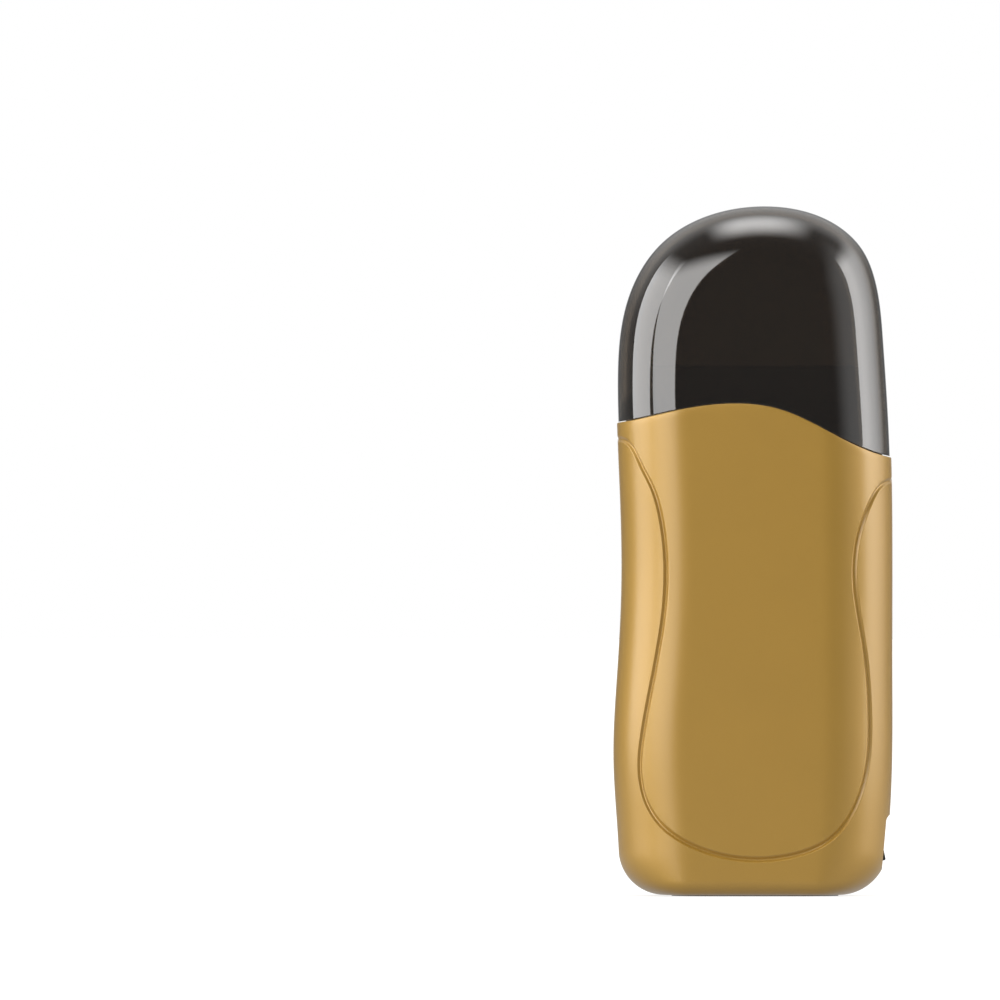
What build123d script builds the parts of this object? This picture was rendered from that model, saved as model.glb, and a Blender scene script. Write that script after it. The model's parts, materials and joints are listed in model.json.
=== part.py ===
from build123d import *
from functools import lru_cache
from math import cos, hypot, radians, sin, tan
import os

# Roll-on wax heater: a gold two-shell case, a smoked dome cover over the neck, and a
# heated cup that takes a flat wax cartridge. +Z is up, the front faces -Y, +X is to the
# right, and z = 0 is the underside of the base pad. All sizes are in millimetres.

# ---- Cartridge and heated cup ----
cartridge_width = 52.0
cartridge_depth = 32.0
cartridge_corner = 11.5
cartridge_slack = 0.5      # all round the cartridge, inside the cup
cup_wall = 1.5
cup_floor_z = 36.0         # underside of the cup
cup_height = 104.0

# ---- Case ----
roller_room = 41.6         # air over the neck, for the cartridge's roller head
wall = 2.2
side_room = 7.65           # air between cup and case wall, left and right
rear_room = 7.8            # the same at the front and the rear, where the heater sits
edge_round = 19.0          # the four long edges
base_round = 11.8          # round the bottom edge
pad_stand = 0.4            # the base pad lifts the case this far
seam_y = 12.0              # plane between the front and the rear shell
seam_gap = 0.1
ledge_reach = 1.3          # ribs that trap the deck and the seat
ledge_height = 1.4
trap_slack = 0.1

# ---- Cover ----
cover_step = 0.35          # the case stands proud of the cover
cover_wall = 2.4
cover_gap = 0.15           # cover rim above the case rim
lip_depth = 4.0            # locating lip inside the case rim
lip_thick = 1.0
lip_slack = 0.25

# ---- Neck ----
neck_rise = 6.0            # top of the neck above the cup's rim
collar_height = 35.0       # deck to the top of the neck
deck_thick = 2.0
neck_wall = 1.6
neck_slack = 0.2           # round the cup
mouth_slack = 0.7          # round the cartridge, at the mouth
neck_round = 1.2

# ---- Seat under the cup ----
seat_thick = 2.4
seat_rim = 4.0
seat_rim_wall = 1.5
seat_rim_root = 0.5
seat_slack = 0.1
seat_rear_opening = 28.0   # gap in the rim for the heater
lead_hole = 1.7            # radius of the holes for the wires
lead_hole_gap = 0.7        # between hole and rim
lead_hole_y = -6.0         # the two holes beside the cup

# ---- Heater stack on the rear of the cup, from the cup outwards ----
film_thick = 0.3
electrode_thick = 0.4
tile_thick = 2.0
clamp_thick = 1.2
tile_width = 24.0
tile_height = 22.0
tile_gap = 2.0
film_margin = 1.5
clamp_corner = 2.0
tab_width = 5.0
tab_length = 6.0
tab_x = 9.0

# ---- Wrap, thermostat and fuse on the cup ----
wrap_gap = 0.1
wrap_thick = 0.8
wrap_end_gap = 3.0         # to the seat rim below and the deck above
wrap_rear_opening = 34.0
window_margin = 2.5        # opening round the thermostat and the fuse
thermostat_size = (4.0, 7.6, 20.0)
thermostat_corner = 1.2
thermostat_z = 62.0
fuse_radius = 2.0
fuse_length = 11.0
fuse_z = 55.0
clip_thick = 0.8
clip_width = 5.0
clip_arm = 14.0
clip_step_gap = 0.2        # clip's step to the piece it holds
clip_foot_gap = 0.4        # and to the boss

# ---- Screws ----
screw_slack = 0.02         # thread in its pilot hole
case_screw_radius = 1.45
case_screw_length = 10.0
case_head_radius = 2.7
case_head_height = 1.8
case_boss_radius = 3.2
boss_shoulder = 2.5
boss_gap = 0.5             # upper bosses to the wrap
shank_clearance = 0.15
head_clearance = 0.3
lower_boss_x = 20.0
lower_boss_drop = 7.5      # below the seat's top
upper_boss_drop = 11.0     # below the deck
tip_room = 1.0             # pilot hole beyond the case screw's tip
cross_width = 0.9
cross_length = 3.4
cross_depth = 1.1
heater_screw_radius = 1.5
heater_screw_length = 5.0
heater_head_radius = 2.7
heater_head_height = 1.6
heater_boss_radius = 3.0
clip_boss_height = 2.4
clip_screw_length = 3.8
blind_room = 0.2           # blind hole beyond the screw's tip
slot_width = 1.0

# ---- Rocker switch on the right side ----
switch_setback = 3.25      # bezel to the seam
switch_z = 14.9
face_inset = 3.3           # bezel face inside the widest line of the case
bezel_length = 14.9
bezel_width = 11.5
bezel_thick = 1.2
bezel_corner = 1.5
switch_wall = 0.8
switch_body = 12.0
pocket_depth = 6.0
rocker_length = 10.4
rocker_width = 8.0
rocker_rise = 0.45         # faces of the rocker over the bezel
rocker_slack = 0.2
rocker_throw = 12.0        # degrees
rocker_thick = 3.2
rocker_corner = 0.5
pivot_depth = 1.5
trunnion_radius = 0.9
trunnion_slack = 0.04
trunnion_inset = 0.1       # inside the housing's outer face
bridge_thick = 0.4
bridge_width = 3.0
contact_gap = 0.1
terminal_thick = 0.8
terminal_width = 3.2
terminal_pitch = 4.6
terminal_length = 6.5
land_tilt = 5.0            # degrees that the land round the switch leans in
land_rise = 1.05           # land over the bezel, level with the middle of the switch
land_top = 6.6             # upper end of the land above that
panel_slack = 0.1
panel_thick = 2.0
panel_margin = 1.0         # panel past the bezel

# ---- Mains inlet in the rear shell ----
inlet_z = 20.0
inlet_flange = (26.0, 16.0)
inlet_flange_thick = 1.2
inlet_body = (21.0, 12.4)
inlet_depth = 15.0
socket_depth = 12.0
socket_lobe = 3.9
socket_waist = 5.6
pin_pitch = 8.6
pin_radius = 1.18
pin_recess = 1.2
pin_tail = 3.0
latch_size = 1.0
latch_length = 2.4
latch_height = 4.0
latch_gap = 0.1

# ---- Wires and base pad ----
lead_radius = 0.8
lead_bend = 0.45           # share of the shorter run that a bend takes up
crimp_length = 5.0
crimp_wall = 0.7
crimp_slack = 0.03
pad_length = 46.0
pad_width = 22.0
pad_thick = 1.2

# ---- Cutting solids ----
past_case = 20.0           # blocks that cut the case run this far past it
cut_over = 1.0             # other cutters run this far past a face they open
touch = 0.01               # tolerance for picking edges

# ---- Sizes that follow from those above ----
cup_inner = (cartridge_width + 2 * cartridge_slack, cartridge_depth + 2 * cartridge_slack)
cup_inner_corner = cartridge_corner + cartridge_slack
cup_width = cup_inner[0] + 2 * cup_wall
cup_depth = cup_inner[1] + 2 * cup_wall
cup_corner = cup_inner_corner + cup_wall
cup_top_z = cup_floor_z + cup_height
neck_top_z = cup_top_z + neck_rise
deck_z = neck_top_z - collar_height
height = neck_top_z + roller_room + cover_wall
half_width = cup_width / 2 + side_room + wall
depth = cup_depth + 2 * (rear_room + wall)
cup_side = cup_width / 2
cup_rear = cup_depth / 2
stack_thick = 2 * film_thick + 2 * electrode_thick + tile_thick
clamp_y = cup_rear + stack_thick
stack_height = 2 * tile_height + tile_gap
heater_z = (cup_floor_z + deck_z) / 2
wrap_low_z = cup_floor_z + seat_rim + wrap_end_gap
wrap_high_z = deck_z - wrap_end_gap
upper_boss_x = cup_side + wrap_gap + wrap_thick + boss_gap + case_boss_radius
upper_boss_z = deck_z - upper_boss_drop
lower_boss_z = cup_floor_z - lower_boss_drop
switch_y = seam_y - switch_setback - bezel_width / 2
face_x = half_width - face_inset
bezel_x = face_x - bezel_thick
pivot_x = face_x - pivot_depth
rocker_tip = rocker_length / 2 * tan(radians(rocker_throw))
rocker_swing = hypot(pivot_depth + rocker_rise + rocker_tip, rocker_length / 2)
switch_opening = (rocker_width + 2 * rocker_slack, 2 * (rocker_swing + rocker_slack))
switch_outside = [size + 2 * switch_wall for size in switch_opening]
bridge_x = face_x - rocker_thick - bridge_thick
tail_y = depth / 2 - inlet_depth - pin_tail

# Case outline seen from the front, up the left side, over the dome and down the right
# side. Each point is how far it lies inside the half width, and its height.
left_side = [(0.85, 0), (0.05, 17), (-1.15, 38), (-0.15, 61), (1.05, 87), (-0.05, 127)]
left_shoulder = [(-0.35, 46), (2.15, 26.5), (11.2, 10.6)]      # depth below the dome top
dome_top_x = 2.6
right_shoulder = [(13.4, 6.1), (8.0, 11.7), (4.45, 20), (2.15, 37)]
right_side = [(0.35, 122), (0, 100), (0, 62), (0.3, 30), (2.55, 0)]

# Wave line between case and cover, left to right: x, and depth below the top of the neck.
wave_line = [(-48, 16.4), (-37, 15.5), (-21, 12.2), (-7.5, 10.5), (6, 11.8), (22.3, 19.2), (36, 24.8),
             (48, 26.4)]

# Centre line of the hourglass groove: inset from the half width, and height.
groove_left = [(-4, 126.9), (3.05, 122.9), (9.85, 109.9), (13.3, 90), (9.6, 62), (5.3, 37), (11.8, 18.6)]
groove_bottom = (1.5, 10.6)
groove_right = [(12.0, 20), (5.4, 47), (10.15, 89), (4.7, 109.1), (-4, 115.6)]
groove_width = 1.3
groove_depth = 0.5


# ---------------------------------------------------------------- simple solids
def block(x_span, y_span, z_span):
    spans = (x_span, y_span, z_span)
    centre = [sum(span) / 2 for span in spans]
    return Pos(*centre) * Box(*[span[1] - span[0] for span in spans])


def around(centre, size):
    return (centre - size / 2, centre + size / 2)


def rod(start, end, radius):
    along = Vector(end) - Vector(start)
    return Solid.make_cylinder(radius, along.length, Plane(origin=start, z_dir=along))


def oval(width, length, corner, low_z, high_z):
    outline = RectangleRounded(width, length, corner)
    return extrude(Plane.XY.offset(low_z) * outline, amount=high_z - low_z)


# ---------------------------------------------------------------- case form
def front_view(points):
    return Spline(*[Vector(x, z) for x, z in points])


def case_outline_points():
    points = [(-half_width + inset, z) for inset, z in left_side]
    points += [(-half_width + inset, height - drop) for inset, drop in left_shoulder]
    points += [(dome_top_x, height + cover_step)]
    points += [(half_width - inset, height - drop) for inset, drop in right_shoulder]
    points += [(half_width - inset, z) for inset, z in right_side]
    return points


def moved_along_normal(curve, points, distance):
    moved = []
    for x, z in points:
        tangent = curve.tangent_at(curve.param_at_point(Vector(x, z)))
        moved.append((x + tangent.Y * distance, z - tangent.X * distance))
    return moved


@lru_cache
def envelope(inset):
    # Solid inside the case outline, drawn in by the same inset on every side.
    points = case_outline_points()
    side_points = moved_along_normal(front_view(points), points, inset)
    base_z = pad_stand + inset
    side_points[0] = (side_points[0][0], base_z)
    side_points[-1] = (side_points[-1][0], base_z)
    side = front_view(side_points)
    face = make_face([side, Line(side @ 1, side @ 0)])
    solid = extrude(Plane.XZ * face, amount=depth / 2 - inset, both=True)
    long_edges = [edge for edge in solid.edges()
                  if abs(edge.center().Y) > depth / 2 - inset - touch and edge.bounding_box().size.Z > touch]
    solid = fillet(long_edges, edge_round - inset)
    base_edges = [edge for edge in solid.edges() if edge.bounding_box().max.Z < base_z + touch]
    return fillet(base_edges, base_round - inset)


def slab(low_z, high_z):
    reach = half_width + past_case
    return block((-reach, reach), (-depth, depth), (low_z, high_z))


def ring(outer_inset, inner_inset, low_z, high_z):
    return (envelope(outer_inset) & slab(low_z, high_z)) - envelope(inner_inset)


def above_wave(rise):
    wave = front_view([(x, neck_top_z - drop + rise) for x, drop in wave_line])
    top_z = height + past_case
    left = Vector(wave_line[0][0], top_z)
    right = Vector(wave_line[-1][0], top_z)
    face = make_face([wave, Line(wave @ 1, right), Line(right, left), Line(left, wave @ 0)])
    return extrude(Plane.XZ * face, amount=depth, both=True)


def groove_cutter():
    points = [(-half_width + inset, z) for inset, z in groove_left]
    points += [groove_bottom]
    points += [(half_width - inset, z) for inset, z in groove_right]
    centre = front_view(points)
    outer = front_view(moved_along_normal(centre, points, -groove_width / 2))
    inner = front_view(moved_along_normal(centre, points, groove_width / 2))
    band = make_face([outer, Line(outer @ 1, inner @ 1), inner, Line(inner @ 0, outer @ 0)])
    front = extrude(Plane.XZ * band, amount=depth)
    return front - envelope(groove_depth)


def ledges(low_z, high_z):
    reach = wall + ledge_reach
    below = ring(wall / 2, reach, low_z - trap_slack - ledge_height, low_z - trap_slack)
    above = ring(wall / 2, reach, high_z + trap_slack, high_z + trap_slack + ledge_height)
    return [below, above]


# ---------------------------------------------------------------- case shells
def boss_places():
    upper = [(side * upper_boss_x, upper_boss_z) for side in (-1, 1)]
    lower = [(side * lower_boss_x, lower_boss_z) for side in (-1, 1)]
    return upper + lower


@lru_cache
def case_tub():
    ribs = ledges(deck_z, deck_z + deck_thick) + ledges(cup_floor_z - seat_thick, cup_floor_z)
    bosses = [rod((x, -depth, z), (x, depth, z), case_boss_radius) & envelope(wall / 2)
              for x, z in boss_places()]
    return envelope(0) - [envelope(wall), above_wave(0)] + ribs + bosses


def front_half():
    reach = half_width + past_case
    return block((-reach, reach), (-depth, seam_y - seam_gap / 2), (-past_case, height + past_case))


def rear_half():
    reach = half_width + past_case
    return block((-reach, reach), (seam_y + seam_gap / 2, depth), (-past_case, height + past_case))


def switch_panel():
    # Thick pad inside the case wall that the switch snaps into.
    inner_x = bezel_x - panel_thick
    length = bezel_length + 2 * panel_margin
    width = bezel_width + 2 * panel_margin
    pad = block((inner_x, half_width), around(switch_y, width), around(switch_z, length))
    return pad & envelope(wall / 2)


def switch_cutout():
    bezel = block((bezel_x, half_width + past_case), around(switch_y, bezel_width + 2 * panel_slack),
                  around(switch_z, bezel_length + 2 * panel_slack))
    body = block((bezel_x - switch_body, half_width), around(switch_y, switch_outside[0] + 2 * panel_slack),
                 around(switch_z, switch_outside[1] + 2 * panel_slack))
    return [bezel, body]


def switch_land():
    # Flat land right across the side, leaning in towards the base under a slanted step.
    slope = tan(radians(land_tilt))
    middle_x = face_x + land_rise
    top = Vector(middle_x + slope * land_top, switch_z + land_top)
    foot = Vector(middle_x - slope * switch_z, 0)
    far_top = top + Vector(past_case, past_case)
    far_foot = Vector(far_top.X, foot.Y)
    face = make_face(Polyline(top, far_top, far_foot, foot, close=True))
    return extrude(Plane.XZ * face, amount=depth, both=True)


def pad_recess():
    return extrude(SlotOverall(pad_length + 2 * panel_slack, pad_width + 2 * panel_slack), amount=pad_thick)


def front_shell():
    shell = case_tub() & front_half()
    pilot_end = seam_y - case_screw_length
    pilots = [rod((x, pilot_end, z), (x, seam_y, z), case_screw_radius + screw_slack)
              for x, z in boss_places()]
    cutters = [groove_cutter(), pad_recess(), switch_land(), *switch_cutout(), *pilots]
    return shell + switch_panel() - cutters


def rear_shell():
    shell = case_tub() & rear_half()
    head_y = seam_y + boss_shoulder
    cutters = [inlet_prism(inlet_flange, panel_slack, depth / 2 - inlet_flange_thick, depth),
               inlet_prism(inlet_body, panel_slack, 0, depth), switch_land()]
    for x, z in boss_places():
        cutters.append(rod((x, seam_y, z), (x, depth, z), case_screw_radius + shank_clearance))
        cutters.append(rod((x, head_y, z), (x, depth, z), case_head_radius + head_clearance))
    return shell - cutters


def case_screws():
    head_y = seam_y + boss_shoulder
    tip_y = seam_y - case_screw_length + tip_room
    cross_y = head_y + case_head_height - cross_depth
    screws = []
    for x, z in boss_places():
        shank = rod((x, tip_y, z), (x, head_y, z), case_screw_radius)
        head = rod((x, head_y, z), (x, head_y + case_head_height, z), case_head_radius)
        cross = block(around(x, cross_width), (cross_y, depth), around(z, cross_length))
        cross += block(around(x, cross_length), (cross_y, depth), around(z, cross_width))
        screws.append(shank + head - cross)
    return screws


def base_pad():
    return extrude(SlotOverall(pad_length, pad_width), amount=pad_thick)


# ---------------------------------------------------------------- cover
def dome_cover():
    hood = (envelope(cover_step) & above_wave(cover_gap)) - envelope(cover_step + cover_wall)
    lip_outer = wall + lip_slack
    lip = envelope(lip_outer) & (above_wave(-lip_depth) - above_wave(lip_depth / 2))
    return hood + (lip - envelope(lip_outer + lip_thick))


# ---------------------------------------------------------------- cup, neck and seat
def heating_cup():
    cup = oval(cup_width, cup_depth, cup_corner, cup_floor_z, cup_top_z)
    cup -= oval(*cup_inner, cup_inner_corner, cup_floor_z + cup_wall, cup_top_z)
    for z in heater_screw_heights():
        cup += rod((0, cup_rear - cup_wall / 2, z), (0, clamp_y, z), heater_boss_radius)
        hole_end = clamp_y + clamp_thick - heater_screw_length - blind_room
        cup -= rod((0, hole_end, z), (0, clamp_y, z), heater_screw_radius + screw_slack)
    for side, z in clip_screw_places():
        foot = side * (cup_side + clip_boss_height)
        cup += rod((side * (cup_side - cup_wall / 2), 0, z), (foot, 0, z), heater_boss_radius)
        hole_end = foot + side * (clip_thick - clip_screw_length - blind_room)
        cup -= rod((hole_end, 0, z), (foot, 0, z), heater_screw_radius + screw_slack)
    return cup


def neck_collar():
    deck = envelope(wall + lip_slack) & slab(deck_z, deck_z + deck_thick)
    bore = [size + 2 * neck_slack for size in (cup_width, cup_depth)]
    bore_corner = cup_corner + neck_slack
    outside = [size + 2 * neck_wall for size in bore]
    neck = oval(*outside, bore_corner + neck_wall, deck_z, neck_top_z)
    neck = fillet(neck.edges().group_by(Axis.Z)[-1], neck_round)
    mouth = [size + 2 * mouth_slack for size in (cartridge_width, cartridge_depth)]
    collar = deck + neck
    collar -= oval(*bore, bore_corner, deck_z - cut_over, cup_top_z + neck_slack)
    collar -= oval(*mouth, cartridge_corner + mouth_slack, cup_top_z, neck_top_z + cut_over)
    return collar


def lead_ways():
    # Holes in the seat for the wires: behind the cup, and beside it left and right.
    reach = seat_slack + seat_rim_wall + lead_hole_gap + lead_hole
    rear_y = cup_rear + reach
    side_x = cup_side + reach
    return [(-tab_x, rear_y), (tab_x, rear_y), (-side_x, lead_hole_y), (side_x, lead_hole_y)]


def cup_seat():
    low_z = cup_floor_z - seat_thick
    plate = envelope(wall + lip_slack) & slab(low_z, cup_floor_z)
    inside = [size + 2 * seat_slack for size in (cup_width, cup_depth)]
    outside = [size + 2 * seat_rim_wall for size in inside]
    corner = cup_corner + seat_slack
    rim = oval(*outside, corner + seat_rim_wall, cup_floor_z - seat_rim_root, cup_floor_z + seat_rim)
    rim -= oval(*inside, corner, cup_floor_z, cup_floor_z + seat_rim)
    rim -= block(around(0, seat_rear_opening), (0, depth), (cup_floor_z, height))
    seat = plate + rim
    for x, y in lead_ways():
        seat -= rod((x, y, low_z - cut_over), (x, y, cup_floor_z + cut_over), lead_hole)
    return seat


def insulation_wrap():
    inside = [size + 2 * wrap_gap for size in (cup_width, cup_depth)]
    outside = [size + 2 * wrap_thick for size in inside]
    corner = cup_corner + wrap_gap
    wrap = oval(*outside, corner + wrap_thick, wrap_low_z, wrap_high_z)
    wrap -= oval(*inside, corner, wrap_low_z, wrap_high_z)
    wrap -= block(around(0, wrap_rear_opening), (0, depth), (0, height))
    above_clip = heater_boss_radius + window_margin
    wrap -= block((0, half_width), around(0, thermostat_size[1] + 2 * window_margin),
                  (thermostat_low_z() - window_margin, clip_z(1) + above_clip))
    wrap -= block((-half_width, 0), around(0, fuse_length + 2 * window_margin),
                  (fuse_z - fuse_radius - window_margin, clip_z(-1) + above_clip))
    return wrap


# ---------------------------------------------------------------- heater
def heater_screw_heights():
    reach = stack_height / 2 + film_margin + heater_boss_radius
    return [heater_z - reach, heater_z + reach]


def ptc_tiles():
    inner_y = cup_rear + film_thick + electrode_thick
    step = (tile_height + tile_gap) / 2
    tiles = []
    for z in (heater_z - step, heater_z + step):
        tiles.append(block(around(0, tile_width), (inner_y, inner_y + tile_thick), around(z, tile_height)))
    return tiles


def electrode(inner_y, side):
    y_span = (inner_y, inner_y + electrode_thick)
    sheet = block(around(0, tile_width), y_span, around(heater_z, stack_height))
    low_z = heater_z - stack_height / 2
    return sheet + block(around(side * tab_x, tab_width), y_span, (low_z - tab_length, heater_z))


def insulating_films():
    films = []
    for inner_y in (cup_rear, clamp_y - film_thick):
        films.append(block(around(0, tile_width + 2 * film_margin), (inner_y, inner_y + film_thick),
                           around(heater_z, stack_height + 2 * film_margin)))
    return films


def clamp_plate():
    low_z, high_z = heater_screw_heights()
    plate = block(around(0, tile_width + 2 * film_margin), (clamp_y, clamp_y + clamp_thick),
                  (low_z - heater_boss_radius, high_z + heater_boss_radius))
    plate = fillet(plate.edges().filter_by(Axis.Y), clamp_corner)
    for z in (low_z, high_z):
        plate -= rod((0, clamp_y - cut_over, z), (0, depth, z), heater_screw_radius + shank_clearance)
    return plate


def heater_screw(seat, outward, length):
    # Pan-head screw whose head rests at the seat point. Its upright slot is half as deep as wide.
    seat = Vector(seat)
    outward = Vector(outward)
    top = seat + outward * heater_head_height
    screw = rod(seat - outward * length, seat, heater_screw_radius) + rod(seat, top, heater_head_radius)
    slot = Box(slot_width, slot_width, 2 * heater_head_radius - slot_width)
    return screw - Pos(*top) * slot


def clamp_screws():
    return [heater_screw((0, clamp_y + clamp_thick, z), (0, 1, 0), heater_screw_length)
            for z in heater_screw_heights()]


# ---------------------------------------------------------------- thermostat and fuse
def thermostat_low_z():
    return thermostat_z - thermostat_size[2] / 2


def clip_z(side):
    held_top = thermostat_z + thermostat_size[2] / 2 if side > 0 else fuse_z + fuse_radius
    return held_top + clip_step_gap + clip_thick + clip_foot_gap + heater_boss_radius


def clip_screw_places():
    return [(side, clip_z(side)) for side in (1, -1)]


def thermostat():
    thick, width, length = thermostat_size
    body = block((cup_side, cup_side + thick), around(0, width), around(thermostat_z, length))
    return fillet(body.edges().filter_by(Axis.Z), thermostat_corner)


def spring_clip(side, held_height, arm_low_z):
    # Foot on the cup's boss, a step out, and an arm pressing on the held piece.
    foot_x = cup_side + clip_boss_height
    arm_x = cup_side + held_height
    z = clip_z(side)
    step_z = z - heater_boss_radius - clip_foot_gap
    y_span = around(0, clip_width)
    foot = block((foot_x, foot_x + clip_thick), y_span, (step_z - clip_thick, z + heater_boss_radius))
    low_x = min(foot_x, arm_x)
    high_x = max(foot_x, arm_x) + clip_thick
    step = block((low_x, high_x), y_span, (step_z - clip_thick, step_z))
    arm = block((arm_x, arm_x + clip_thick), y_span, (arm_low_z, step_z))
    clip = foot + step + arm
    clip -= rod((foot_x - cut_over, 0, z), (foot_x + clip_thick + cut_over, 0, z),
                heater_screw_radius + shank_clearance)
    return clip if side > 0 else mirror(clip, about=Plane.YZ)


def thermostat_clip():
    return spring_clip(1, thermostat_size[0], clip_z(1) - clip_arm)


def fuse_clip():
    return spring_clip(-1, 2 * fuse_radius, fuse_z - fuse_radius)


def clip_screws():
    foot_x = cup_side + clip_boss_height + clip_thick
    return [heater_screw((side * foot_x, 0, z), (side, 0, 0), clip_screw_length)
            for side, z in clip_screw_places()]


def thermal_fuse():
    x = -cup_side - fuse_radius
    return rod((x, -fuse_length / 2, fuse_z), (x, fuse_length / 2, fuse_z), fuse_radius)


# ---------------------------------------------------------------- rocker switch
def switch_housing():
    bezel = block((bezel_x, face_x), around(switch_y, bezel_width), around(switch_z, bezel_length))
    bezel = fillet(bezel.edges().filter_by(Axis.X), bezel_corner)
    floor_x = bezel_x - switch_body
    body = block((floor_x, bezel_x), around(switch_y, switch_outside[0]), around(switch_z, switch_outside[1]))
    pocket = block((bezel_x - pocket_depth, face_x), around(switch_y, switch_opening[0]),
                   around(switch_z, switch_opening[1]))
    reach = switch_outside[0] / 2
    bearing = rod((pivot_x, switch_y - reach, switch_z), (pivot_x, switch_y + reach, switch_z),
                  trunnion_radius + trunnion_slack)
    return bezel + body - [pocket, bearing, *switch_terminals()]


def rocker():
    # Two faces meeting at a shallow angle: the upper one stands a little over the bezel and
    # the lower one slopes outwards. Two trunnions carry it in the housing.
    half = rocker_length / 2
    back_x = face_x - rocker_thick
    top_x = face_x + rocker_rise
    profile = Polyline((top_x, switch_z + half), (top_x, switch_z), (top_x + rocker_tip, switch_z - half),
                       (face_x - pivot_depth, switch_z - half), (back_x, switch_z - half / 2),
                       (back_x, switch_z + half / 2), (face_x - pivot_depth, switch_z + half), close=True)
    paddle = Pos(0, switch_y, 0) * extrude(Plane.XZ * make_face(profile), amount=rocker_width / 2, both=True)
    ends = [edge for edge in paddle.edges().filter_by(Axis.Y)
            if edge.center().X > face_x - pivot_depth / 2 and abs(edge.center().Z - switch_z) > half / 2]
    reach = switch_outside[0] / 2 - trunnion_inset
    trunnions = rod((pivot_x, switch_y - reach, switch_z), (pivot_x, switch_y + reach, switch_z),
                    trunnion_radius)
    return fillet(ends, rocker_corner) + trunnions


def contact_bridge():
    # Copper strip under the rocker that closes the two terminals.
    length = 2 * terminal_pitch + terminal_thick
    x_span = (bridge_x, bridge_x + bridge_thick)
    return block(x_span, around(switch_y, bridge_width), around(switch_z, length))


def terminal_heights():
    return [switch_z, switch_z - terminal_pitch]


def switch_terminals():
    # Blades through the switch floor. Each stops just short of the bridge as it lies once the
    # rocker is pressed, measured at the blade's lower edge.
    angle = radians(rocker_throw)
    outer_x = bezel_x - switch_body - terminal_length
    blades = []
    for z in terminal_heights():
        edge_drop = switch_z - z + terminal_thick / 2
        pressed_x = pivot_x - (pivot_x - bridge_x + edge_drop * sin(angle)) / cos(angle)
        blades.append(block((outer_x, pressed_x - contact_gap), around(switch_y, terminal_width),
                            around(z, terminal_thick)))
    return blades


# ---------------------------------------------------------------- mains inlet
def inlet_prism(size, slack, near_y, far_y):
    outline = SlotOverall(size[0] + 2 * slack, size[1] + 2 * slack)
    prism = extrude(Plane.XZ.offset(-near_y) * outline, amount=-(far_y - near_y))
    return Pos(0, 0, inlet_z) * prism


def power_inlet():
    rear_y = depth / 2
    flange = inlet_prism(inlet_flange, 0, rear_y - inlet_flange_thick, rear_y)
    body = inlet_prism(inlet_body, 0, rear_y - inlet_depth, rear_y - inlet_flange_thick / 2)
    inlet = flange + body
    latch_y = rear_y - wall - latch_gap
    for side in (-1, 1):
        x_span = sorted((side * (inlet_body[0] / 2 - latch_size), side * (inlet_body[0] / 2 + latch_size)))
        inlet += block(x_span, (latch_y - latch_length, latch_y), around(inlet_z, latch_height))
    floor_y = rear_y - socket_depth
    for side in (-1, 1):
        x = side * pin_pitch / 2
        inlet -= rod((x, floor_y, inlet_z), (x, depth, inlet_z), socket_lobe)
        inlet -= rod((x, 0, inlet_z), (x, depth, inlet_z), pin_radius)
    return inlet - block(around(0, pin_pitch), (floor_y, depth), around(inlet_z, socket_waist))


def inlet_pins():
    rear_y = depth / 2
    pins = []
    for side in (-1, 1):
        x = side * pin_pitch / 2
        pins.append(rod((x, tail_y, inlet_z), (x, rear_y - pin_recess, inlet_z), pin_radius))
    return pins


# ---------------------------------------------------------------- wires
def lead(points):
    points = [Vector(point) for point in points]
    radii = []
    for before, corner, after in zip(points, points[1:], points[2:]):
        runs = ((corner - before).length, (after - corner).length)
        half_turn = radians((corner - before).get_angle(after - corner)) / 2
        radii.append(lead_bend * min(runs) / tan(half_turn))
    path = FilletPolyline(*points, radius=radii)
    section = Plane(origin=path @ 0, z_dir=path % 0) * Circle(lead_radius)
    return sweep(section, path)


def crimp_sleeves():
    # Each sleeve grips a blade or a pin with one half and the wire's end with the other.
    half = crimp_length / 2
    blade_x = bezel_x - switch_body - terminal_length
    blade_size = (terminal_width + 2 * crimp_slack, terminal_thick + 2 * crimp_slack)
    sleeves = []
    for z in terminal_heights():
        sleeve = block((blade_x - half, blade_x + half), around(switch_y, blade_size[0] + 2 * crimp_wall),
                       around(z, 2 * (lead_radius + crimp_wall)))
        sleeve -= block((blade_x, blade_x + half), around(switch_y, blade_size[0]), around(z, blade_size[1]))
        sleeve -= rod((blade_x - half, switch_y, z), (blade_x, switch_y, z), lead_radius + crimp_slack)
        sleeves.append(sleeve)
    for side in (-1, 1):
        x = side * pin_pitch / 2
        sleeve = rod((x, tail_y - half, inlet_z), (x, tail_y + half, inlet_z), pin_radius + crimp_wall)
        sleeve -= rod((x, tail_y, inlet_z), (x, tail_y + half, inlet_z), pin_radius + crimp_slack)
        sleeve -= rod((x, tail_y - half, inlet_z), (x, tail_y, inlet_z), lead_radius + crimp_slack)
        sleeves.append(sleeve)
    return sleeves


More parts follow.
